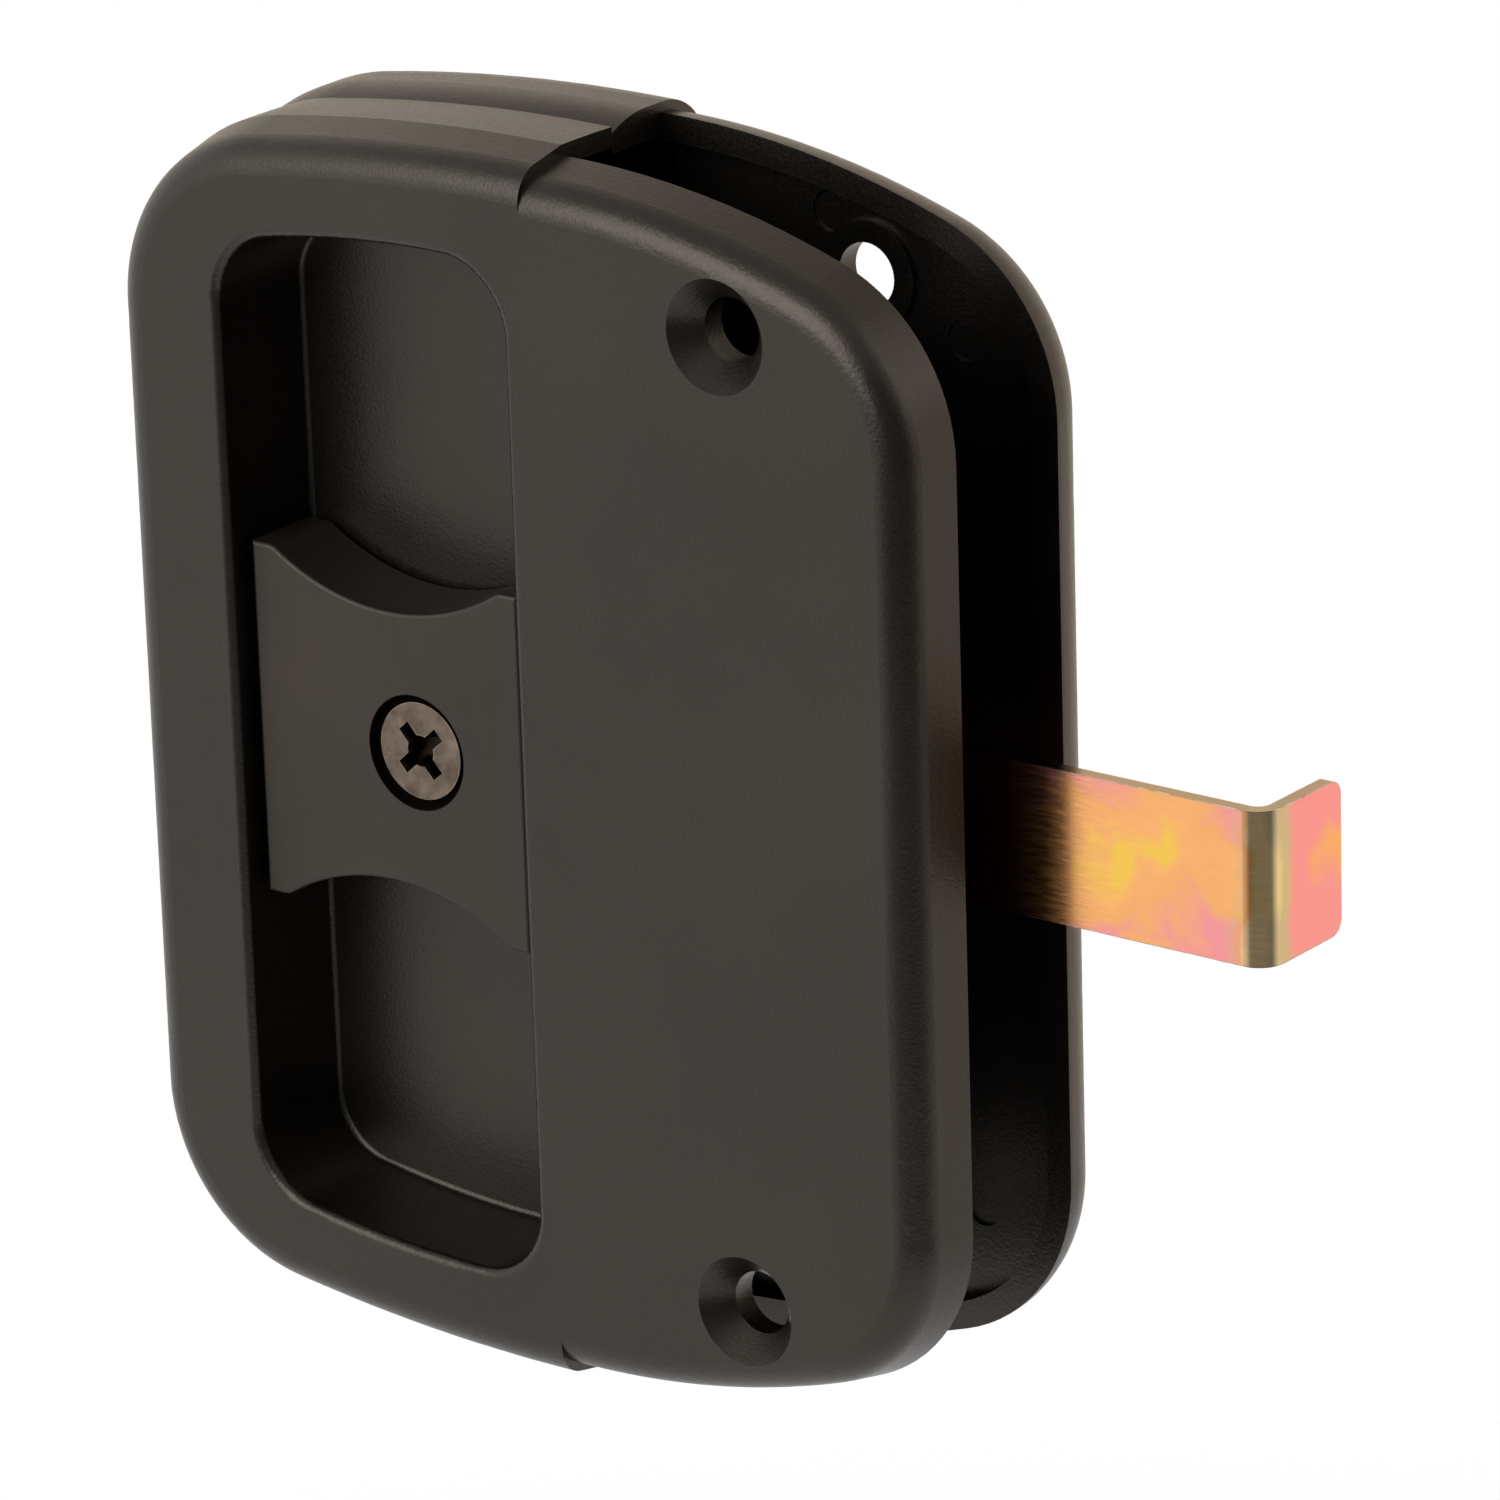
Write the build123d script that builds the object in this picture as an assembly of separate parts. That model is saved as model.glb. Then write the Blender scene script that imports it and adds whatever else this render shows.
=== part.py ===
from build123d import *
import math
import os

# Sliding screen door latch and pull. Two moulded halves clamp the stile of a
# screen door between their flanges. A recessed grip fills each half beside the
# stile, and a waisted thumb block slides up and down in each grip. One screw
# draws both blocks together on a flat steel bolt, whose bent tip reaches past
# the stile and drops behind the strike.
#
# Millimetres. X runs from the grip to the bolt's tip, Y from the inside of the
# house to the outside, Z up. The origin is midway between the two mounting
# screw holes, on the plane where the two halves meet.

# Flange, seen from the front
PLATE_LEFT = 68.0        # from the mounting holes to the grip's outer edge
PLATE_RIGHT = 20.3       # from the mounting holes to the flange's free edge
PLATE_HEIGHT = 111.6     # at its crown
PLATE_CROWN = 47.2       # from the outer edge to where its top and bottom bow is highest
PLATE_BOW = 90.0         # radius of the bow
PLATE_CORNER = 16.8

# Grip, the part beside the stile
GRIP_WIDTH = 47.3        # from the outer edge to the wall that meets the stile
GRIP_HEIGHT = 113.6      # a little proud of the flange, top and bottom
GRIP_CROWN = 42.5        # from the outer edge
GRIP_BOW = 188.0
GRIP_CORNER = 18.0

# Sides of the two halves. Only the outside one is drawn in where they meet.
INSIDE_DRAFT = 12.0      # degrees, of the face plate's sides
INSIDE_ROUND = 3.2       # rounding of the face into the sides
INSIDE_LEAD = 0.1        # how far the walls are drawn in where the halves meet
OUTSIDE_DRAFT = 0.5
OUTSIDE_ROUND = 6.0
OUTSIDE_LEAD = 1.2
OUTSIDE_PROUD = 0.5      # how far it stands out past the inside half
LEAD_DEPTH = 4.5         # depth over which the walls curve in
LEAD_SECTIONS = 5        # outlines the curve is drawn through

# Depth
STILE_GAP = 14.0         # between the two flanges
FLANGE_DEPTH = 6.3       # from the outer face to the edge that bears on the stile
FLANGE_FLOOR = 4.3       # thickness inside the bearing rim
RIM_WIDTH = 2.0
FACE_THICKNESS = 2.6     # of the grip's face
GRIP_WALL = 1.8          # outer wall round the grip
CUP_TO_STILE = 2.2       # from the cup's mouth to the side that meets the stile

# Cup, the finger recess
CUP_LEFT = 12.8          # from the outer edge to the cup's mouth
CUP_MARGIN = 9.6         # from the grip's crown to the cup's mouth
CUP_CROWN = 37.0         # from the outer edge
CUP_BOW = 108.0
CUP_CORNER = 7.0
CUP_DRAFT = 4.0          # degrees
CUP_WALL = 1.8
CUP_FLOOR = 1.6
CUP_LIP = 0.8            # rounding of the mouth
CUP_ROOT = 0.5           # rounding of the cup's floor into its walls

# Mounting holes
HOLE_SPACING = 88.9
HOLE_DIAMETER = 5.8
SINK_DIAMETER = 10.2
SINK_ANGLE = 82.0        # degrees, also of the centre screw's head
COLLAR_DIAMETER = 9.8
COLLAR_HEIGHT = 0.6
EJECTOR_DIAMETER = 3.7   # shallow round marks on the hidden side of a flange
EJECTOR_DEPTH = 0.3
EJECTOR_MARKS = ((-4.2, 49.4), (9.8, 40.0))

# Thumb blocks
BLOCK_HEIGHT = 33.2
BLOCK_WAIST = 25.4
BLOCK_SHOULDER = 2.3     # flat beside the waist, at each end of an edge
BLOCK_SOFTEN = 2.0       # rounding from shoulder to waist
BLOCK_EDGE = 0.4         # rounding of the face
BLOCK_FOOT = 0.8         # rounding of the back
BLOCK_INSET = 1.8        # how far its face stands behind the grip's
BLOCK_SIDE_GAP = 0.35    # beside it, at the cup's floor
BLOCK_FLOOR_GAP = 0.25
BOSS_DIAMETER = 7.0
BOSS_GAP = 0.4
TRAVEL = 4.5             # up and down from the middle

# Bolt
BOLT_THICKNESS = 1.3
BOLT_HEIGHT = 14.0
BOLT_REACH = 46.9        # from the mounting holes to the tip's outer face
BOLT_TIP = 10.6          # from the bolt's middle plane to the tip's edge
BOLT_BEND = 1.2          # inside radius
BOLT_CORNER = 1.5
BOLT_TAIL = 6.5          # past the centre screw
BOLT_GAP = 0.3           # to each cup's floor

# Centre screw
SCREW_OFFSET = 3.0       # from the middle of the cup towards the stile
SCREW_HEAD = 9.0
SCREW_HEAD_EDGE = 0.4
SCREW_SHANK = 4.2
SCREW_CLEARANCE = 0.4    # on the diameter
SCREW_SINK = 0.6         # how far its head lies below the block's face
SCREW_RING = 10.6        # mouth of the hole round its head
SCREW_BITE = 7.5         # length of thread in the outside block
SCREW_PILOT = 1.0        # bore left past its point
DRIVE_SPAN = 5.6         # cross recess in its head
DRIVE_WIDTH = 1.3
DRIVE_CORE = 2.9         # diameter of its middle
DRIVE_DEPTH = 1.7
DRIVE_TURN = 42.0        # degrees
DRIVE_TAPER = 12.0       # degrees, of the arms' sides

# Places that follow from the sizes above
HALF_DEPTH = STILE_GAP / 2 + FLANGE_DEPTH
OUTER_FACE = -HALF_DEPTH
BEARING_FACE = -STILE_GAP / 2
POCKET_FLOOR = OUTER_FACE + FLANGE_FLOOR
CAVITY_FLOOR = OUTER_FACE + FACE_THICKNESS
PLATE_EDGE = -PLATE_LEFT
STILE_FACE = PLATE_EDGE + GRIP_WIDTH
FLOOR_BACK = -(BOLT_THICKNESS / 2 + BOLT_GAP)
FLOOR_FRONT = FLOOR_BACK - CUP_FLOOR
CUP_DEPTH = FLOOR_FRONT - OUTER_FACE
CUP_SIDE = PLATE_EDGE + CUP_LEFT
CUP_RIGHT = STILE_FACE - CUP_TO_STILE
CUP_WIDTH = CUP_RIGHT - CUP_SIDE
CUP_CENTRE = (CUP_SIDE + CUP_RIGHT) / 2
CUP_TOP = GRIP_HEIGHT / 2 - CUP_MARGIN
BLOCK_WIDTH = CUP_WIDTH - 2 * (CUP_DEPTH * math.tan(math.radians(CUP_DRAFT)) + BLOCK_SIDE_GAP)
BLOCK_BACK = FLOOR_FRONT - BLOCK_FLOOR_GAP
BLOCK_FACE = OUTER_FACE + BLOCK_INSET
SCREW_X = CUP_CENTRE + SCREW_OFFSET
SCREW_TOP = BLOCK_FACE + SCREW_SINK
SINK_SLOPE = math.tan(math.radians(SINK_ANGLE / 2))
FAR = 200.0              # past everything, for cutting tools
PAST = 1.0               # how far a cutting tool starts before a face


def front(y):
    """Drawing plane at depth y, with X to the right, Z up and its normal to the viewer."""
    return Plane(origin=(0, y, 0), x_dir=(1, 0, 0), z_dir=(0, -1, 0))


def bowed(left, right, crown_x, top, radius, corner, grow=0.0):
    """A rectangle with bowed top and bottom edges and rounded corners, grown on all sides."""
    height = 2 * (top + grow)
    sketch = Pos((left + right) / 2, 0) * Rectangle(right - left + 2 * grow, height)
    for side in (-1, 1):
        sketch = sketch & Pos(crown_x, side * (top - radius)) * Circle(radius + grow)
    return fillet(sketch.vertices(), corner + grow)


def prism(sketch, near, far, draft=0.0):
    """The sketch drawn out from depth far to the nearer depth near."""
    return extrude(front(far) * sketch, amount=far - near, taper=draft)


def left_of(x):
    return Pos(x - FAR / 2, 0, 0) * Box(FAR, FAR, FAR)


def right_of(x):
    return Pos(x + FAR / 2, 0, 0) * Box(FAR, FAR, FAR)


def rod(x, z, diameter, near, far):
    """A round bar along Y."""
    return prism(Pos(x, z) * Circle(diameter / 2), near, far)


def countersink(x, z, diameter, near, bore):
    """A cone along Y whose wide end is at depth near."""
    depth = (diameter - bore) / 2 / SINK_SLOPE
    wide = front(near) * Pos(x, z) * Circle(diameter / 2)
    narrow = front(near + depth) * Pos(x, z) * Circle(bore / 2)
    return loft([wide.face(), narrow.face()], ruled=True)


def tapered(far_sketch, far, near_sketch, near):
    """Straight sides from one outline to a parallel one at another depth."""
    return loft([(front(far) * far_sketch).face(), (front(near) * near_sketch).face()], ruled=True)


def plate_outline(grow=0.0):
    crown_x = PLATE_EDGE + PLATE_CROWN
    top = PLATE_HEIGHT / 2
    return bowed(PLATE_EDGE, PLATE_RIGHT, crown_x, top, PLATE_BOW, PLATE_CORNER, grow)


def grip_outline(grow=0.0):
    crown_x = PLATE_EDGE + GRIP_CROWN
    top = GRIP_HEIGHT / 2
    return bowed(PLATE_EDGE, PLATE_RIGHT, crown_x, top, GRIP_BOW, GRIP_CORNER, grow)


def cup_outline(grow=0.0):
    crown_x = PLATE_EDGE + CUP_CROWN
    return bowed(CUP_SIDE, CUP_RIGHT, crown_x, CUP_TOP, CUP_BOW, CUP_CORNER, grow)


def face_slab(outline, proud, draft, rounding):
    """A face plate with drafted sides and its outer edge rounded."""
    inset = FLANGE_DEPTH * math.tan(math.radians(draft))
    slab = tapered(outline(proud), BEARING_FACE, outline(proud - inset), OUTER_FACE)
    rim = slab.faces().sort_by(Axis.Y)[0].edges()
    return fillet(rim, rounding)


def grip_walls(proud, lead):
    """The grip's walls, curving in by lead towards the plane where the halves meet."""
    sections = []
    for step in range(LEAD_SECTIONS):
        share = step / (LEAD_SECTIONS - 1)
        outline = grip_outline(proud - lead * (1 - share) ** 2)
        sections.append((front(-LEAD_DEPTH * share) * outline).face())
    walls = loft(sections) + prism(grip_outline(proud), BEARING_FACE, -LEAD_DEPTH)
    return walls & left_of(STILE_FACE)


def grip_cavity(inset):
    """The hollow between the cup and the walls, behind the face. It is open beside the stile."""
    return prism(grip_outline(-inset), CAVITY_FLOOR, 0) & left_of(STILE_FACE)


def cup_shell():
    """The cup's walls and floor, before it is hollowed."""
    return prism(cup_outline(CUP_WALL), CAVITY_FLOOR, FLOOR_BACK) & left_of(STILE_FACE)


def cup_hollow():
    """The finger recess, narrower towards its floor."""
    inset = CUP_DEPTH * math.tan(math.radians(CUP_DRAFT))
    drawn = tapered(cup_outline(-inset), FLOOR_FRONT, cup_outline(), OUTER_FACE)
    floor = drawn.faces().sort_by(Axis.Y)[-1].edges()
    return fillet(floor, CUP_ROOT)


def boss_slot():
    """Where the blocks' bosses pass through the cup's floor."""
    width = BOSS_DIAMETER + 2 * BOSS_GAP
    length = width + 2 * TRAVEL
    return prism(Pos(SCREW_X, 0) * SlotOverall(length, width, rotation=90), FLOOR_FRONT - PAST, 0)


def flange_pocket():
    """The flange is thinner inside the rim that bears on the stile."""
    return prism(plate_outline(-RIM_WIDTH), POCKET_FLOOR, BEARING_FACE) & right_of(STILE_FACE)


def mounting_hole(z):
    bore = rod(0, z, HOLE_DIAMETER, OUTER_FACE - PAST, BEARING_FACE)
    return bore + countersink(0, z, SINK_DIAMETER, OUTER_FACE, HOLE_DIAMETER)


def soften_mouth(body):
    """Rounds the edge where the cup opens in the face."""
    openings = ShapeList()
    for face in body.faces().filter_by(Axis.Y).group_by(Axis.Y)[0]:
        openings += face.inner_wires()
    mouth = openings.sort_by(SortBy.LENGTH)[-1]
    return fillet(mouth.edges(), CUP_LIP)


def housing_half(proud, draft, rounding, lead):
    """A half as the inside one stands. The outside one is its mirror image."""
    body = face_slab(grip_outline, proud, draft, rounding) & left_of(STILE_FACE)
    body += face_slab(plate_outline, proud, draft, rounding) & right_of(STILE_FACE)
    body += grip_walls(proud, lead)
    body -= flange_pocket()
    body -= grip_cavity(lead - proud + GRIP_WALL)
    body += cup_shell()
    body -= cup_hollow()
    body -= boss_slot()
    for side in (-1, 1):
        z = side * HOLE_SPACING / 2
        body += rod(0, z, COLLAR_DIAMETER, POCKET_FLOOR, POCKET_FLOOR + COLLAR_HEIGHT)
        body -= mounting_hole(z)
        for x, mark_z in EJECTOR_MARKS:
            body -= rod(x, side * mark_z, EJECTOR_DIAMETER, POCKET_FLOOR - EJECTOR_DEPTH, POCKET_FLOOR)
    return soften_mouth(body)


def inside_housing():
    return housing_half(0, INSIDE_DRAFT, INSIDE_ROUND, INSIDE_LEAD)


def outside_housing():
    half = housing_half(OUTSIDE_PROUD, OUTSIDE_DRAFT, OUTSIDE_ROUND, OUTSIDE_LEAD)
    return mirror(half, about=Plane.XZ)


def waisted():
    """The thumb block's outline: shoulders at its four corners, hollowed between them."""
    half_chord = BLOCK_WIDTH / 2 - BLOCK_SHOULDER
    sag = (BLOCK_HEIGHT - BLOCK_WAIST) / 2
    radius = (half_chord**2 + sag**2) / (2 * sag)
    sketch = Rectangle(BLOCK_WIDTH, BLOCK_HEIGHT)
    for side in (-1, 1):
        sketch -= Pos(0, side * (BLOCK_WAIST / 2 + radius)) * Circle(radius)
    inner = sketch.vertices().filter_by(lambda v: abs(v.X) < BLOCK_WIDTH / 2 - BLOCK_SHOULDER / 2)
    return fillet(inner, BLOCK_SOFTEN)


def block_body():
    """A thumb block with the boss that reaches through the cup's floor to the bolt."""
    block = prism(Pos(CUP_CENTRE, 0) * waisted(), BLOCK_FACE, BLOCK_BACK)
    block = fillet(block.faces().sort_by(Axis.Y)[0].edges(), BLOCK_EDGE)
    block = fillet(block.faces().sort_by(Axis.Y)[-1].edges(), BLOCK_FOOT)
    return block + rod(SCREW_X, 0, BOSS_DIAMETER, BLOCK_BACK, -BOLT_THICKNESS / 2)


def inside_thumb_slide():
    seat = SCREW_TOP + SCREW_HEAD_EDGE
    block = block_body()
    block -= rod(SCREW_X, 0, SCREW_RING, BLOCK_FACE - PAST, seat)
    block -= countersink(SCREW_X, 0, SCREW_HEAD, seat, SCREW_SHANK)
    block -= rod(SCREW_X, 0, SCREW_SHANK + SCREW_CLEARANCE, seat, 0)
    return block


def outside_thumb_slide():
    block = mirror(block_body(), about=Plane.XZ)
    block -= rod(SCREW_X, 0, SCREW_SHANK, 0, BOLT_THICKNESS / 2 + SCREW_BITE + SCREW_PILOT)
    return block


def latch_bolt():
    """Flat bar bent square at its tip, cut round at its corners."""
    half = BOLT_THICKNESS / 2
    end = BOLT_REACH - half
    path = FilletPolyline((SCREW_X - BOLT_TAIL, 0), (end, 0), (end, BOLT_TIP), radius=BOLT_BEND + half)
    section = Plane.YZ * Rectangle(BOLT_THICKNESS, BOLT_HEIGHT)
    bar = sweep(Pos(SCREW_X - BOLT_TAIL, 0, 0) * section, path=path)
    tip = bar.faces().sort_by(Axis.Y)[-1].edges().filter_by(Axis.X)
    tail = bar.faces().sort_by(Axis.X)[0].edges().filter_by(Axis.Y)
    bar = fillet(tip + tail, BOLT_CORNER)
    return bar - rod(SCREW_X, 0, SCREW_SHANK + SCREW_CLEARANCE, -half - PAST, half + PAST)


def cross_recess():
    """The cross in the screw's head, with sloping arms."""
    arm = Rectangle(DRIVE_SPAN, DRIVE_WIDTH)
    cross = Rot(0, 0, DRIVE_TURN) * (arm + Rot(0, 0, 90) * arm + Circle(DRIVE_CORE / 2))
    return extrude(front(SCREW_TOP) * Pos(SCREW_X, 0) * cross, amount=-DRIVE_DEPTH, taper=DRIVE_TAPER)


def centre_screw():
    seat = SCREW_TOP + SCREW_HEAD_EDGE
    screw = rod(SCREW_X, 0, SCREW_HEAD, SCREW_TOP, seat)
    screw += countersink(SCREW_X, 0, SCREW_HEAD, seat, SCREW_SHANK)
    screw += rod(SCREW_X, 0, SCREW_SHANK, seat, BOLT_THICKNESS / 2 + SCREW_BITE)
    return screw - cross_recess()


PARTS = {
    "inside_housing": inside_housing(),
    "outside_housing": outside_housing(),
    "inside_thumb_slide": inside_thumb_slide(),
    "outside_thumb_slide": outside_thumb_slide(),
    "latch_bolt": latch_bolt(),
    "centre_screw": centre_screw(),
}

os.makedirs("parts", exist_ok=True)
for name, solid in PARTS.items():
    export_step(solid, f"parts/{name}.step")
    print(name, len(solid.solids()), round(solid.volume))
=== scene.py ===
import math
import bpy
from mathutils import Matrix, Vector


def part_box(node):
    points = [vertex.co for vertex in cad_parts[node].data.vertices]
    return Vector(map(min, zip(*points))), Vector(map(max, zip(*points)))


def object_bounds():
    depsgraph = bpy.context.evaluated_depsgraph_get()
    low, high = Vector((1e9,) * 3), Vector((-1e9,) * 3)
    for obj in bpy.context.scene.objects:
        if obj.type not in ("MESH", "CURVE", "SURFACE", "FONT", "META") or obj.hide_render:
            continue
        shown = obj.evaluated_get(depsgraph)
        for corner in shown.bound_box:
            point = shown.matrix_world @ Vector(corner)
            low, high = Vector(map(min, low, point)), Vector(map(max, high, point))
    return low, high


bl_info = {
    "name": "Screen Door Latch",
    "version": (1, 0, 0),
    "blender": (4, 5, 0),
    "location": "View3D > Sidebar > Door Latch",
    "description": "Finishes a sliding screen door latch and pull and lights it for its picture",
    "category": "Object",
}

import bpy
from bpy.props import FloatProperty, FloatVectorProperty, PointerProperty
from mathutils import Matrix, Vector

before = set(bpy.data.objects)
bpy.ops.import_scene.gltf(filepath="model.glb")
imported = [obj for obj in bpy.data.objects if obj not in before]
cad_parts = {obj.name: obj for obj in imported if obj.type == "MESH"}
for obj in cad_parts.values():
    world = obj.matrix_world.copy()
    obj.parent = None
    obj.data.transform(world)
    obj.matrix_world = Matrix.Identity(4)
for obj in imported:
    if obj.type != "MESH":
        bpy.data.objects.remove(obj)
CAD_BOX = [list(corner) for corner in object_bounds()]
MM = 0.001
BLACK = (0.0, 0.0, 0.0)
WHITE = (1.0, 1.0, 1.0)

# Plastic: counts of patches are for one metre
CELL_SHARE = 0.6
TONE_PATCHES = 45.0
EDGE_BREAKS = 900.0
EDGE_STARTS = 0.995
EDGE_FULL = 0.86
BEVEL_SAMPLES = 6
DARK_PATCH = 0.35
PALE_PATCH = 2.1
GRAIN_GLOSS = -0.05
GRAIN_MATT = 0.06
GRAIN_STRENGTH = 0.9
PLASTIC_IOR = 1.58

# Bolt: lengths along the strip are measured from the start of its bend
BEND_RADIUS = 2.5 * MM
SWAY = 0.9 * MM
RIM_START = 0.2
RIM_ROSE = 0.44
LEG_START = -7 * MM
LEG_END = 6 * MM
LEG_ROSE = 0.52
BEND_START = -2 * MM
BEND_END = 8 * MM
BEND_COVER = 0.8
SHEARED_START = 0.12 * MM
SHEARED_END = 0.02 * MM
SHEARED_SHARE = 0.85
BOLT_EDGE = 0.16 * MM
ROLLED_LONG = (0.08, 0.08, 1.0)
ROLLED_DEPTH = 0.004 * MM

# Screw, and painted shade in its drive recess and round its head
SCREW_EDGE = 0.22 * MM
SCREW_CLOUDS = 520.0
DRIVE_TOP = 0.25 * MM
DRIVE_DEEP = 0.9 * MM
DRIVE_SHADE = 0.12
# Painted shade round the centre screw fades out between these two distances beyond its radius
SHADE_RIM_OUT = 0.10 * MM
SHADE_RIM_IN = 0.02 * MM

# Stage: places and sizes of lamps are in metres
KEY_PLACE = (-0.267, -0.874, 0.407)
FILL_PLACE = (0.7, 0.25, 0.6)
FILL_WIDTH = 0.5
FILL_HEIGHT = 0.8
SENSOR_WIDTH = 36.0
PAPER_SIDES = 96
PAPER_TINT = (0.86, 0.86, 0.86)
PAPER_ROUGHNESS = 0.9
PAPER_GLOW = 0.92
GLOW_STARTS = 0.45
GLOW_FULL = 0.95
TOWARDS_DARK_SIDE = Vector((0.62, -0.73, -0.29)).normalized()
OVERHEAD = 0.55


# Settings that a user may change


def colour(name, description, default):
    """A colour."""
    return FloatVectorProperty(
        name=name, description=description, default=default, subtype="COLOR", min=0.0, max=1.0
    )


def size(name, description, millimetres):
    """A length, given here in millimetres."""
    return FloatProperty(
        name=name, description=description, default=millimetres * MM, unit="LENGTH", precision=5
    )


def share(name, description, default):
    """A number from nothing to all."""
    return FloatProperty(
        name=name, description=description, default=default, subtype="FACTOR", min=0.0, max=1.0
    )


def turn(name, description, degrees):
    """An angle, given here in degrees."""
    return FloatProperty(
        name=name, description=description, default=math.radians(degrees), unit="ROTATION"
    )


def power(name, description, watts):
    """The power of a lamp."""
    return FloatProperty(name=name, description=description, default=watts, unit="POWER")


class MouldingSettings(bpy.types.PropertyGroup):
    """Finish of the moulded halves and thumb blocks"""

    housing: colour("Housing", "Colour of both moulded halves", (0.0050, 0.0042, 0.0034))
    block: colour("Thumb Block", "Colour of both thumb blocks", (0.0085, 0.0062, 0.0048))
    rubbed: colour("Rubbed Edge", "Colour of the plastic's rubbed edges", (0.020, 0.016, 0.012))
    grain: size("Grain", "Width of one pit of the moulded texture", 0.32)
    depth: size("Grain Depth", "How deep the moulded texture is", 0.022)
    edge: size("Edge Width", "Width of the rubbed band along an edge", 0.35)
    gloss: share("Roughness", "Roughness of the moulded halves", 0.30)
    matt: share("Block Roughness", "Roughness of the thumb blocks", 0.44)
    smooth: share("Block Grain", "Share of the grain's depth that the thumb blocks have", 0.4)
    sheen: colour("Sheen", "Tint of what the plastic reflects", (0.96, 0.84, 0.72))
    # Painted shade: the next two settings give the radius and the near-black colour of the shade
    # painted round the centre screw
    ring: size("Screw Ring", "Radius of the dark seat round the centre screw", 5.3)
    seat_shade: colour("Screw Seat", "Colour of the seat round the screw", (0.012, 0.010, 0.008))


class PlatingSettings(bpy.types.PropertyGroup):
    """Finish of the bolt and the centre screw"""

    yellow: colour("Yellow", "Brightest yellow of the zinc plating", (0.97, 0.60, 0.10))
    gold: colour("Gold", "Main colour of the zinc plating", (0.97, 0.46, 0.17))
    rose: colour("Rose", "Pink sheen of the plating, towards its edges", (0.96, 0.34, 0.35))
    olive: colour("Olive", "Green and brown sheen round the bend", (0.96, 0.80, 0.40))
    sheared: colour("Sheared Edge", "Dull colour of the strip's cut edges", (0.30, 0.25, 0.12))
    bare: colour("Bare Edge", "Pale colour where the bolt's edges are rubbed", (0.90, 0.82, 0.70))
    green: colour("Green", "Pale green sheen beside the bend", (0.56, 0.56, 0.28))
    blotch: size("Blotch", "Size of one patch of the sheen", 7.0)
    brush: size("Rolling Mark", "Width of the fine marks left by rolling the strip", 0.15)
    bronze: colour("Screw", "Colour of the screw's bronze plating", (0.150, 0.112, 0.086))
    worn: colour("Worn Screw", "Colour where the screw's plating is thin", (0.23, 0.175, 0.135))


class StageSettings(bpy.types.PropertyGroup):
    """Camera, lamps and floor"""

    azimuth: turn("Azimuth", "How far the camera stands to the right of straight ahead", 37.62)
    elevation: turn("Elevation", "How far the camera looks down", 19.51)
    roll: turn("Roll", "How far the picture leans to the left", 1.76)
    distance: size("Distance", "From the camera to the point it looks at", 744.78)
    lens: FloatProperty(name="Lens", description="Focal length", default=208.6, unit="CAMERA")
    aim: FloatVectorProperty(
        name="Aim",
        description="Point at the middle of the picture",
        default=(0.0001, -0.01019, 0.00677),
        subtype="XYZ",
        unit="LENGTH",
        precision=5,
    )
    floor_drop: size("Floor Drop", "From the latch down to the floor", 190.0)
    paper: size("Paper", "Radius of the round sheet of paper under the latch", 450.0)
    key: power("Key", "Power of the large lamp in front", 6.0)
    key_width: size("Key Width", "Side of the large lamp in front", 800.0)
    fill: power("Fill", "Power of the lamp behind at the right", 0.8)
    sky: FloatProperty(name="Sky", description="Light that the room sheds on it", default=0.10)
    dark: share("Dark Side", "Brightness of the room where the photographer stands", 0.16)
    wall: colour("Far Wall", "Tint of the wall behind, in reflections", (1.0, 0.88, 0.74))


def settings(name):
    """One of this add-on's three groups of settings."""
    return getattr(bpy.context.scene, name)


# Nodes


def feed(tree, socket, value):
    """Links a socket to another, or sets it to a number, a vector or an opaque colour."""
    if isinstance(value, bpy.types.NodeSocket):
        tree.links.new(value, socket)
    elif socket.type == "RGBA":
        socket.default_value = (*value, 1.0)
    else:
        socket.default_value = value


def feed_in_order(tree, node, values):
    """Feeds a node's sockets from the first on."""
    for socket, value in zip(node.inputs, values):
        feed(tree, socket, value)


def feed_by_name(tree, node, **values):
    """Feeds the sockets that are named, with spaces written as underscores."""
    for name, value in values.items():
        feed(tree, node.inputs[name.replace("_", " ")], value)


def add(tree, kind, place, **values):
    """A node at a place in the editor, with values for its properties or its sockets."""
    node = tree.nodes.new(kind)
    node.location = place
    for name, value in values.items():
        if hasattr(node, name):
            setattr(node, name, value)
        else:
            feed_by_name(tree, node, **{name: value})
    return node


def calculate(tree, operation, place, *values):
    """The result of a Math node on sockets or numbers."""
    node = add(tree, "ShaderNodeMath", place, operation=operation)
    feed_in_order(tree, node, values)
    return node.outputs[0]


def combine(tree, operation, place, *values):
    """The outputs of a Vector Math node on sockets or vectors."""
    node = add(tree, "ShaderNodeVectorMath", place, operation=operation)
    feed_in_order(tree, node, values)
    return node.outputs


def split(tree, place, vector):
    """The X, Y and Z outputs of a vector."""
    return add(tree, "ShaderNodeSeparateXYZ", place, Vector=vector).outputs


def spread(tree, place, value, low, high, to_low=0.0, to_high=1.0):
    """Carries a value from one range to another, and stops it at the ends."""
    node = add(tree, "ShaderNodeMapRange", place, Value=value, From_Min=low, From_Max=high)
    feed_by_name(tree, node, To_Min=to_low, To_Max=to_high)
    return node.outputs["Result"]


def noise(tree, place, where, patches, **values):
    """A noise with so many patches to a metre."""
    node = add(tree, "ShaderNodeTexNoise", place, Vector=where, Scale=patches, **values)
    return node.outputs["Fac"]


def blend(tree, place, factor, first, second):
    """The colour between two colours."""
    node = add(tree, "ShaderNodeMix", place, data_type="RGBA", Factor=factor, A=first, B=second)
    return node.outputs["Result"]


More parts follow.
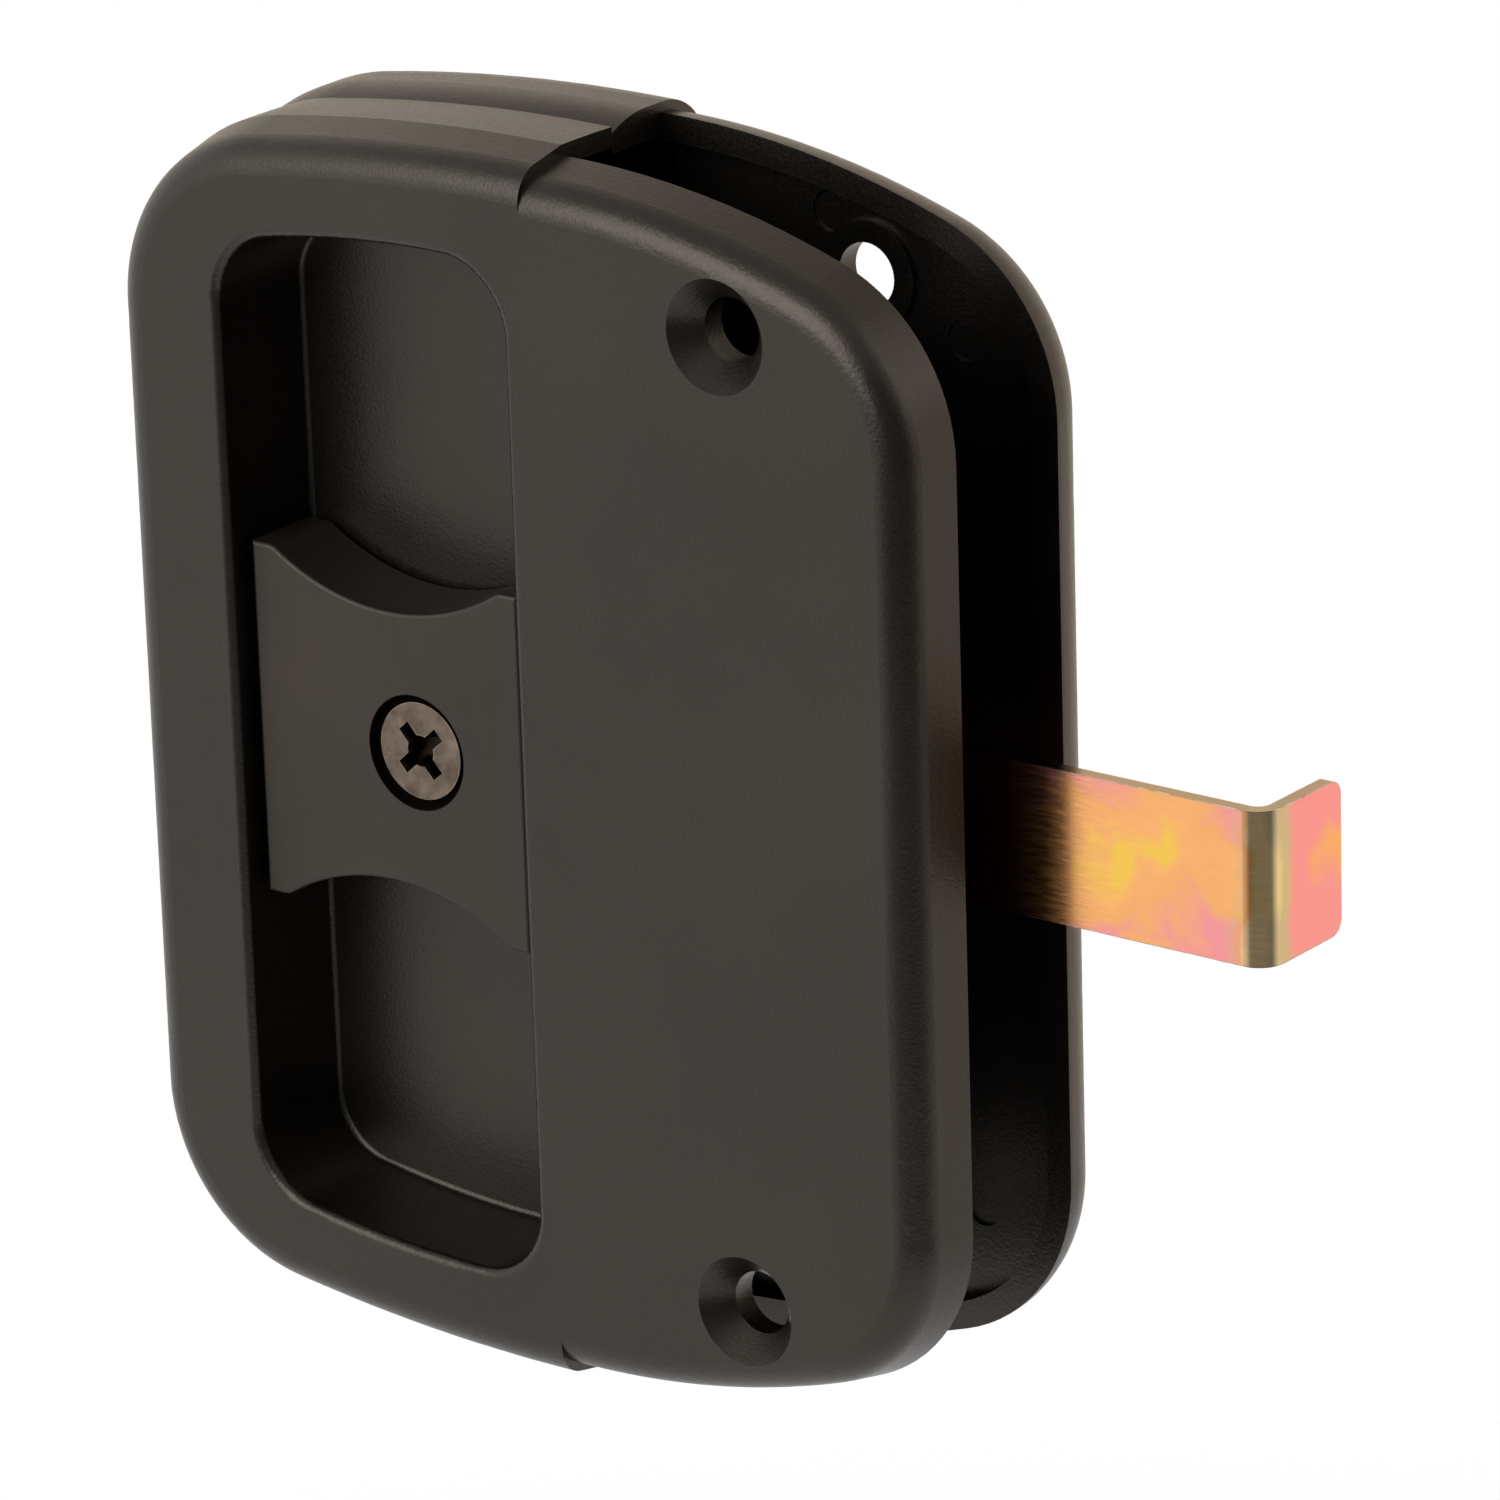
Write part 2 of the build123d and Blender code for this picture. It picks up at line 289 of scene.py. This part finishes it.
def ramp(tree, place, factor, *stops):
    """A colour looked up among (position, colour) stops."""
    node = add(tree, "ShaderNodeValToRGB", place, Fac=factor)
    elements = node.color_ramp.elements
    for element, (position, tint) in zip(elements, (stops[0], stops[-1])):
        element.position, element.color = position, (*tint, 1.0)
    for position, tint in stops[1:-1]:
        elements.new(position).color = (*tint, 1.0)
    return node.outputs["Color"]


def scaled(tint, factor):
    """A colour made darker or lighter."""
    return tuple(min(1.0, part * factor) for part in tint)


def place_on_piece(tree, place):
    """Where a point lies on the piece, in metres."""
    return add(tree, "ShaderNodeTexCoord", place).outputs["Object"]


# Node groups


def group(name, inputs, outputs):
    """A shader node group with its sockets, and its own input and output nodes."""
    tree = bpy.data.node_groups.new(name, "ShaderNodeTree")
    for label, kind in inputs:
        tree.interface.new_socket(label, in_out="INPUT", socket_type=kind)
    for label in outputs:
        tree.interface.new_socket(label, in_out="OUTPUT", socket_type="NodeSocketFloat")
    start = add(tree, "NodeGroupInput", (-900, 0))
    end = add(tree, "NodeGroupOutput", (900, 0))
    return tree, start.outputs, end


def place_group(tree, name, place, where, **values):
    """The outputs of one of the node groups, put in a material."""
    node = add(tree, "ShaderNodeGroup", place)
    node.node_tree = bpy.data.node_groups[name]
    feed_by_name(tree, node, Vector=where, **values)
    return node.outputs


def grain_group():
    """Spark-eroded texture of a mould: packed soft pits, and slow patches of tone."""
    tree, start, end = group(
        "Moulded Grain",
        (("Pit Size", "NodeSocketFloat"), ("Vector", "NodeSocketVector")),
        ("Height", "Patch"),
    )
    where = start["Vector"]
    scale = calculate(tree, "DIVIDE", (-700, 120), 1.0, start["Pit Size"])
    pits = noise(tree, (-480, 200), where, scale, Detail=2.0, Roughness=0.6)
    cells = add(
        tree,
        "ShaderNodeTexVoronoi",
        (-480, -80),
        feature="SMOOTH_F1",
        Smoothness=0.7,
        Vector=where,
        Scale=scale,
    ).outputs["Distance"]
    height = calculate(tree, "MULTIPLY_ADD", (-200, 100), cells, CELL_SHARE, pits)
    patch = noise(tree, (-480, -380), where, TONE_PATCHES, Detail=4.0, Roughness=0.55)
    feed_by_name(tree, end, Height=height, Patch=patch)


def edge_group():
    """Finds the edges of a solid by how far a rounded normal leans from the true one."""
    tree, start, end = group(
        "Rubbed Edge",
        (("Width", "NodeSocketFloat"), ("Vector", "NodeSocketVector")),
        ("Mask",),
    )
    rounded = add(
        tree, "ShaderNodeBevel", (-700, 120), samples=BEVEL_SAMPLES, Radius=start["Width"]
    ).outputs["Normal"]
    true = add(tree, "ShaderNodeNewGeometry", (-700, -120)).outputs["Normal"]
    lean = combine(tree, "DOT_PRODUCT", (-460, 60), rounded, true)["Value"]
    found = spread(tree, (-220, 60), lean, EDGE_STARTS, EDGE_FULL)
    breaks = noise(tree, (-460, -240), start["Vector"], EDGE_BREAKS, Detail=3.0)
    patchy = spread(tree, (-220, -240), breaks, low=0.35, high=0.62)
    feed_by_name(tree, end, Mask=calculate(tree, "MULTIPLY", (60, 0), found, patchy))


# Materials


def new_material(name):
    """An empty material with its Principled shader, and the tree they are in."""
    material = bpy.data.materials.new(name)
    material.use_nodes = True
    tree = material.node_tree
    return material, tree, tree.nodes["Principled BSDF"]


def shade_round_screw(tree, where, radius):
    """Mask of the painted shade in the deep counterbore round the centre screw, on the inside of
    the door only.
    """
    low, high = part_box("centre_screw")
    parts = split(tree, (-1100, -640), where)
    across = calculate(tree, "SUBTRACT", (-900, -560), parts["X"], (low.x + high.x) / 2)
    up = calculate(tree, "SUBTRACT", (-900, -740), parts["Z"], (low.z + high.z) / 2)
    across = calculate(tree, "POWER", (-720, -560), across, 2.0)
    up = calculate(tree, "POWER", (-720, -740), up, 2.0)
    reach = calculate(tree, "SQRT", (-380, -640), calculate(tree, "ADD", (-550, -640), across, up))
    near = spread(tree, (-200, -640), reach, radius + SHADE_RIM_OUT, radius + SHADE_RIM_IN)
    inside = calculate(tree, "LESS_THAN", (-200, -860), parts["Y"], 0.0)
    return calculate(tree, "MULTIPLY", (0, -700), near, inside)


def moulded_plastic(name, tint, gloss, depth):
    """Dark moulded plastic with a fine grain, soft patches of tone, rubbed edges and painted shade
    round the centre screw.
    """
    look = settings("latch_moulding")
    material, tree, shader = new_material(name)
    where = place_on_piece(tree, (-1100, 0))
    grain = place_group(tree, "Moulded Grain", (-880, 0), where, Pit_Size=look.grain)
    edge = place_group(tree, "Rubbed Edge", (-880, -260), where, Width=look.edge)
    tone = ramp(
        tree,
        (-620, 160),
        grain["Patch"],
        (0.32, scaled(tint, DARK_PATCH)),
        (0.70, scaled(tint, PALE_PATCH)),
    )
    rubbed = blend(tree, (-300, 120), edge["Mask"], tone, look.rubbed)
    # Painted shade: round the centre screw the plastic turns near-black, metallic and rough, so
    # that it reflects almost nothing
    seat_shade = shade_round_screw(tree, where, look.ring)
    pits = spread(
        tree,
        (-300, -140),
        grain["Height"],
        low=0.2,
        high=0.9,
        to_low=gloss + GRAIN_GLOSS,
        to_high=gloss + GRAIN_MATT,
    )
    bump = add(tree, "ShaderNodeBump", (-300, -420), Strength=GRAIN_STRENGTH, Distance=depth)
    feed_by_name(tree, bump, Height=grain["Height"])
    feed_by_name(
        tree,
        shader,
        Base_Color=blend(tree, (-100, 220), seat_shade, rubbed, look.seat_shade),
        Roughness=calculate(tree, "MAXIMUM", (-100, -140), pits, seat_shade),
        Metallic=seat_shade,
        Normal=bump.outputs["Normal"],
        IOR=PLASTIC_IOR,
        Specular_Tint=look.sheen,
    )
    return material


def along_strip(tree, parts, blotch):
    """Distance along the bolt's strip past the start of its bend, swaying with the patches."""
    low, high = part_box("latch_bolt")
    past = calculate(tree, "SUBTRACT", (-1480, -140), parts["X"], high.x - BEND_RADIUS)
    back = calculate(tree, "SUBTRACT", (-1480, -320), parts["Y"], low.y)
    along = calculate(tree, "ADD", (-1260, -200), past, back)
    sway = spread(tree, (-1480, -520), blotch, low=0.3, high=0.7, to_low=-SWAY, to_high=SWAY)
    return calculate(tree, "ADD", (-1040, -260), along, sway)


def patchy_sheen(tree, look, blotch, rim, path):
    """Yellow and gold patches that turn to rose at the strip's rims and on its bent leg."""
    patches = spread(
        tree, (-1480, 300), blotch, low=0.34, high=0.68, to_low=0.04, to_high=0.56
    )
    leg = spread(tree, (-820, -120), path, LEG_START, LEG_END, to_high=LEG_ROSE)
    tone = calculate(tree, "ADD", (-1040, 160), patches, rim)
    tone = calculate(tree, "ADD", (-820, 160), tone, leg)
    return ramp(
        tree,
        (-600, 200),
        tone,
        (0.18, look.yellow),
        (0.38, scaled(look.gold, 1.04)),
        (0.60, look.gold),
        (0.90, look.rose),
    )


def bend_sheen(tree, look, sheen, path):
    """Lays green, gold and olive bands over the sheen where the strip is bent."""
    band = spread(tree, (-820, -400), path, BEND_START, BEND_END)
    tint = ramp(
        tree,
        (-600, -340),
        band,
        (0.08, look.green),
        (0.22, scaled(look.gold, 0.9)),
        (0.30, scaled(look.olive, 0.9)),
        (0.48, look.olive),
        (0.66, look.green),
    )
    cover = ramp(
        tree,
        (-600, -600),
        band,
        (0.06, BLACK),
        (0.24, scaled(WHITE, BEND_COVER)),
        (0.74, scaled(WHITE, BEND_COVER)),
        (0.86, BLACK),
    )
    return blend(tree, (-280, 60), cover, sheen, tint)


def rolling_marks(tree, where, width):
    """Roughness and normal of the fine lengthwise marks that rolling leaves on a strip."""
    long = add(tree, "ShaderNodeMapping", (-820, -860), Vector=where, Scale=ROLLED_LONG)
    marks = noise(tree, (-600, -860), long.outputs["Vector"], 1.0 / width, Detail=3.0)
    rough = spread(tree, (-280, -300), marks, low=0.3, high=0.75, to_low=0.14, to_high=0.24)
    bump = add(tree, "ShaderNodeBump", (-280, -600), Strength=0.2, Distance=ROLLED_DEPTH)
    feed_by_name(tree, bump, Height=marks)
    return rough, bump.outputs["Normal"]


def zinc_plating():
    """Yellow zinc plating, rose towards its edges and green round the bend."""
    look = settings("latch_plating")
    material, tree, shader = new_material("yellow_zinc_plating")
    where = place_on_piece(tree, (-1900, 0))
    parts = split(tree, (-1700, -140), where)
    patches = 1.0 / look.blotch
    blotch = noise(tree, (-1700, 300), where, patches, Detail=2.5, Distortion=0.5)

    low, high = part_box("latch_bolt")
    half = (high.z - low.z) / 2
    height = calculate(tree, "ABSOLUTE", (-1480, 60), parts["Z"])
    rim = spread(tree, (-1260, 60), height, RIM_START * half, half, to_high=RIM_ROSE)
    path = along_strip(tree, parts, blotch)
    sheen = patchy_sheen(tree, look, blotch, rim, path)
    bent = bend_sheen(tree, look, sheen, path)
    sheared = spread(
        tree,
        (-600, 420),
        height,
        low=half - SHEARED_START,
        high=half - SHEARED_END,
        to_high=SHEARED_SHARE,
    )
    cut = blend(tree, (-60, 160), sheared, bent, look.sheared)
    edge = place_group(tree, "Rubbed Edge", (-280, 420), where, Width=BOLT_EDGE)
    rough, normal = rolling_marks(tree, where, look.brush)
    feed_by_name(
        tree,
        shader,
        Base_Color=blend(tree, (140, 220), edge["Mask"], cut, look.bare),
        Roughness=rough,
        Normal=normal,
        Metallic=1.0,
    )
    return material


def bronze_plating():
    """Dark bronze plating, thin along the edges of the head, and darkened in its recess by painted
    shade.
    """
    look = settings("latch_plating")
    material, tree, shader = new_material("bronze_plating")
    where = place_on_piece(tree, (-1100, 0))
    edge = place_group(tree, "Rubbed Edge", (-880, -220), where, Width=SCREW_EDGE)
    cloud = noise(tree, (-880, 120), where, SCREW_CLOUDS, Detail=5.0, Roughness=0.62)
    tone = ramp(
        tree,
        (-620, 120),
        cloud,
        (0.36, scaled(look.bronze, 0.72)),
        (0.70, look.worn),
    )
    worn = blend(tree, (-300, 60), edge["Mask"], tone, scaled(look.worn, 1.5))
    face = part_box("centre_screw")[0].y
    parts = split(tree, (-880, 420), where)
    # Painted shade: the drive recess darkens the deeper it lies below the head's face
    deep = spread(tree, (-620, 420), parts["Y"], face + DRIVE_TOP, face + DRIVE_DEEP)
    rough = spread(tree, (-300, -200), cloud, low=0.3, high=0.7, to_low=0.26, to_high=0.42)
    feed_by_name(
        tree,
        shader,
        Base_Color=blend(tree, (-100, 200), deep, worn, scaled(look.bronze, DRIVE_SHADE)),
        Roughness=rough,
        Metallic=1.0,
    )
    return material


# Paper and room


def looked_at(tree, rays):
    """1 for a ray from the camera or off something shiny, 0 for one that gathers light."""
    shiny = calculate(
        tree, "MAXIMUM", (-650, 200), rays["Is Glossy Ray"], rays["Is Transmission Ray"]
    )
    return calculate(tree, "MAXIMUM", (-450, 300), rays["Is Camera Ray"], shiny)


def mix_surface(tree, output, factor, first, second):
    """Puts a mix of two shaders on the output of a material or world."""
    mix = add(tree, "ShaderNodeMixShader", (150, 200))
    feed_in_order(tree, mix, (factor, first, second))
    feed_by_name(tree, tree.nodes[output], Surface=mix.outputs["Shader"])


def paper(radius):
    """Pale paper that is nearly white where it is looked at, and quite white at its rim."""
    material, tree, shader = new_material("studio_paper")
    feed_by_name(tree, shader, Base_Color=PAPER_TINT, Roughness=PAPER_ROUGHNESS)
    where = place_on_piece(tree, (-1100, 0))
    flat = combine(tree, "MULTIPLY", (-900, 0), where, (1.0, 1.0, 0.0))["Vector"]
    reach = combine(tree, "LENGTH", (-700, 0), flat)["Value"]
    glow = spread(
        tree, (-500, 0), reach, GLOW_STARTS * radius, GLOW_FULL * radius, to_low=PAPER_GLOW
    )
    rays = add(tree, "ShaderNodeLightPath", (-900, 300)).outputs
    seen = calculate(tree, "MULTIPLY", (-200, 300), looked_at(tree, rays), glow)
    white = add(tree, "ShaderNodeEmission", (-200, -300), Strength=1.0)
    mix_surface(tree, "Material Output", seen, shader.outputs["BSDF"], white.outputs["Emission"])
    return material


def room_light(sky, dark, wall):
    """A white room, dim overhead, dark where the photographer stands and warm behind."""
    world = bpy.data.worlds.new("white_room")
    world.use_nodes = True
    tree = world.node_tree
    shed = tree.nodes["Background"]
    feed_by_name(tree, shed, Color=WHITE, Strength=sky)
    where = add(tree, "ShaderNodeTexCoord", (-1100, -200)).outputs["Generated"]
    parts = split(tree, (-850, -380), where)
    rays = add(tree, "ShaderNodeLightPath", (-1100, 300)).outputs

    towards = combine(tree, "DOT_PRODUCT", (-850, -120), where, TOWARDS_DARK_SIDE)["Value"]
    near = spread(tree, (-620, -120), towards, low=0.34, high=0.74, to_low=1.0, to_high=dark)
    high = spread(
        tree, (-620, -380), parts["Z"], low=0.45, high=0.8, to_low=1.0, to_high=OVERHEAD
    )
    dim = calculate(tree, "MULTIPLY", (-400, -240), near, high)
    level = calculate(tree, "MAXIMUM", (-200, -240), dim, rays["Is Camera Ray"])

    behind = spread(tree, (-620, -560), parts["Y"], low=0.1, high=0.6)
    unseen = calculate(tree, "SUBTRACT", (-620, -760), 1.0, rays["Is Camera Ray"])
    warm = calculate(tree, "MULTIPLY", (-400, -620), behind, unseen)
    tint = blend(tree, (-200, -500), warm, WHITE, wall)
    seen = add(tree, "ShaderNodeBackground", (0, -160), Color=tint, Strength=level)
    mix_surface(
        tree,
        "World Output",
        looked_at(tree, rays),
        shed.outputs["Background"],
        seen.outputs["Background"],
    )
    return world


# Steps


def dress(node, material):
    """Gives a CAD node its finish."""
    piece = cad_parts[node]
    piece.data.materials.clear()
    piece.data.materials.append(material)


class LATCH_OT_finish_housings(bpy.types.Operator):
    """Give both moulded halves their grained plastic"""

    bl_idname = "latch.finish_housings"
    bl_label = "Finish Housings"

    def execute(self, context):
        look = settings("latch_moulding")
        plastic = moulded_plastic("housing_plastic", look.housing, look.gloss, look.depth)
        for node in ("inside_housing", "outside_housing"):
            dress(node, plastic)
        return {"FINISHED"}


class LATCH_OT_finish_thumb_blocks(bpy.types.Operator):
    """Give both thumb blocks their smoother, more matt plastic"""

    bl_idname = "latch.finish_thumb_blocks"
    bl_label = "Finish Thumb Blocks"

    def execute(self, context):
        look = settings("latch_moulding")
        depth = look.smooth * look.depth
        plastic = moulded_plastic("thumb_block_plastic", look.block, look.matt, depth)
        for node in ("inside_thumb_slide", "outside_thumb_slide"):
            dress(node, plastic)
        return {"FINISHED"}


class LATCH_OT_plate_bolt(bpy.types.Operator):
    """Plate the bent bolt in yellow zinc"""

    bl_idname = "latch.plate_bolt"
    bl_label = "Plate Bolt"

    def execute(self, context):
        dress("latch_bolt", zinc_plating())
        return {"FINISHED"}


class LATCH_OT_plate_screw(bpy.types.Operator):
    """Plate the centre screw in dark bronze"""

    bl_idname = "latch.plate_screw"
    bl_label = "Plate Screw"

    def execute(self, context):
        dress("centre_screw", bronze_plating())
        return {"FINISHED"}


def lamp(name, watts, width, height, at, towards):
    """A soft rectangular lamp that faces a point."""
    bpy.ops.object.light_add(type="AREA", location=at)
    light = bpy.context.object
    light.name = name
    light.data.energy = watts
    light.data.shape = "RECTANGLE"
    light.data.size = width
    light.data.size_y = height
    light.rotation_euler = (towards - Vector(at)).to_track_quat("-Z", "Y").to_euler()


class LATCH_OT_set_stage(bpy.types.Operator):
    """Set up the paper, the lamps and the camera"""

    bl_idname = "latch.set_stage"
    bl_label = "Set Stage"

    def execute(self, context):
        stage = settings("latch_stage")
        self.lay_paper(stage)
        self.hang_lamps(stage)
        self.place_camera(stage)
        context.scene.view_settings.view_transform = "Standard"
        return {"FINISHED"}

    def lay_paper(self, stage):
        """A round sheet of paper on the floor."""
        bpy.ops.object.select_all(action="DESELECT")
        floor = CAD_BOX[0][2] - stage.floor_drop
        bpy.ops.mesh.primitive_circle_add(
            vertices=PAPER_SIDES, radius=stage.paper, fill_type="NGON", location=(0, 0, floor)
        )
        sheet = bpy.context.object
        sheet.name = "paper_sheet"
        sheet.data.materials.append(paper(stage.paper))

    def hang_lamps(self, stage):
        """A large soft lamp in front at the left and a smaller one behind, in a white room."""
        centre = (Vector(CAD_BOX[0]) + Vector(CAD_BOX[1])) / 2
        lamp("key_lamp", stage.key, stage.key_width, stage.key_width, KEY_PLACE, centre)
        lamp("fill_lamp", stage.fill, FILL_WIDTH, FILL_HEIGHT, FILL_PLACE, centre)
        bpy.context.scene.world = room_light(stage.sky, stage.dark, stage.wall)

    def place_camera(self, stage):
        """Looks at the aim point from the azimuth and elevation, with the roll."""
        outward = Vector(
            (
                math.sin(stage.azimuth) * math.cos(stage.elevation),
                -math.cos(stage.azimuth) * math.cos(stage.elevation),
                math.sin(stage.elevation),
            )
        )
        bpy.ops.object.camera_add(location=Vector(stage.aim) + outward * stage.distance)
        camera = bpy.context.object
        camera.name = "picture_camera"
        camera.data.lens = stage.lens
        camera.data.sensor_width = SENSOR_WIDTH
        level = (-outward).to_track_quat("-Z", "Y").to_matrix().to_4x4()
        camera.rotation_euler = (level @ Matrix.Rotation(-stage.roll, 4, "Z")).to_euler()
        bpy.context.scene.camera = camera


# Panel and registration


class LATCH_PT_sidebar(bpy.types.Panel):
    """Steps that finish and light the latch"""

    bl_label = "Door Latch"
    bl_idname = "LATCH_PT_sidebar"
    bl_space_type = "VIEW_3D"
    bl_region_type = "UI"
    bl_category = "Door Latch"

    def draw(self, context):
        for name, kind in SETTINGS.items():
            box = self.layout.box()
            for field in kind.__annotations__:
                box.prop(getattr(context.scene, name), field)
        for operator in OPERATORS:
            self.layout.operator(operator.bl_idname)


SETTINGS = {
    "latch_moulding": MouldingSettings,
    "latch_plating": PlatingSettings,
    "latch_stage": StageSettings,
}
OPERATORS = (
    LATCH_OT_finish_housings,
    LATCH_OT_finish_thumb_blocks,
    LATCH_OT_plate_bolt,
    LATCH_OT_plate_screw,
    LATCH_OT_set_stage,
)
CLASSES = (*SETTINGS.values(), *OPERATORS, LATCH_PT_sidebar)


def register():
    for kind in CLASSES:
        bpy.utils.register_class(kind)
    for name, kind in SETTINGS.items():
        setattr(bpy.types.Scene, name, PointerProperty(type=kind))


def unregister():
    for name in SETTINGS:
        delattr(bpy.types.Scene, name)
    for kind in reversed(CLASSES):
        bpy.utils.unregister_class(kind)


def main():
    register()
    grain_group()
    edge_group()
    bpy.ops.latch.finish_housings()
    bpy.ops.latch.finish_thumb_blocks()
    bpy.ops.latch.plate_bolt()
    bpy.ops.latch.plate_screw()
    bpy.ops.latch.set_stage()


if __name__ == "__main__":
    main()
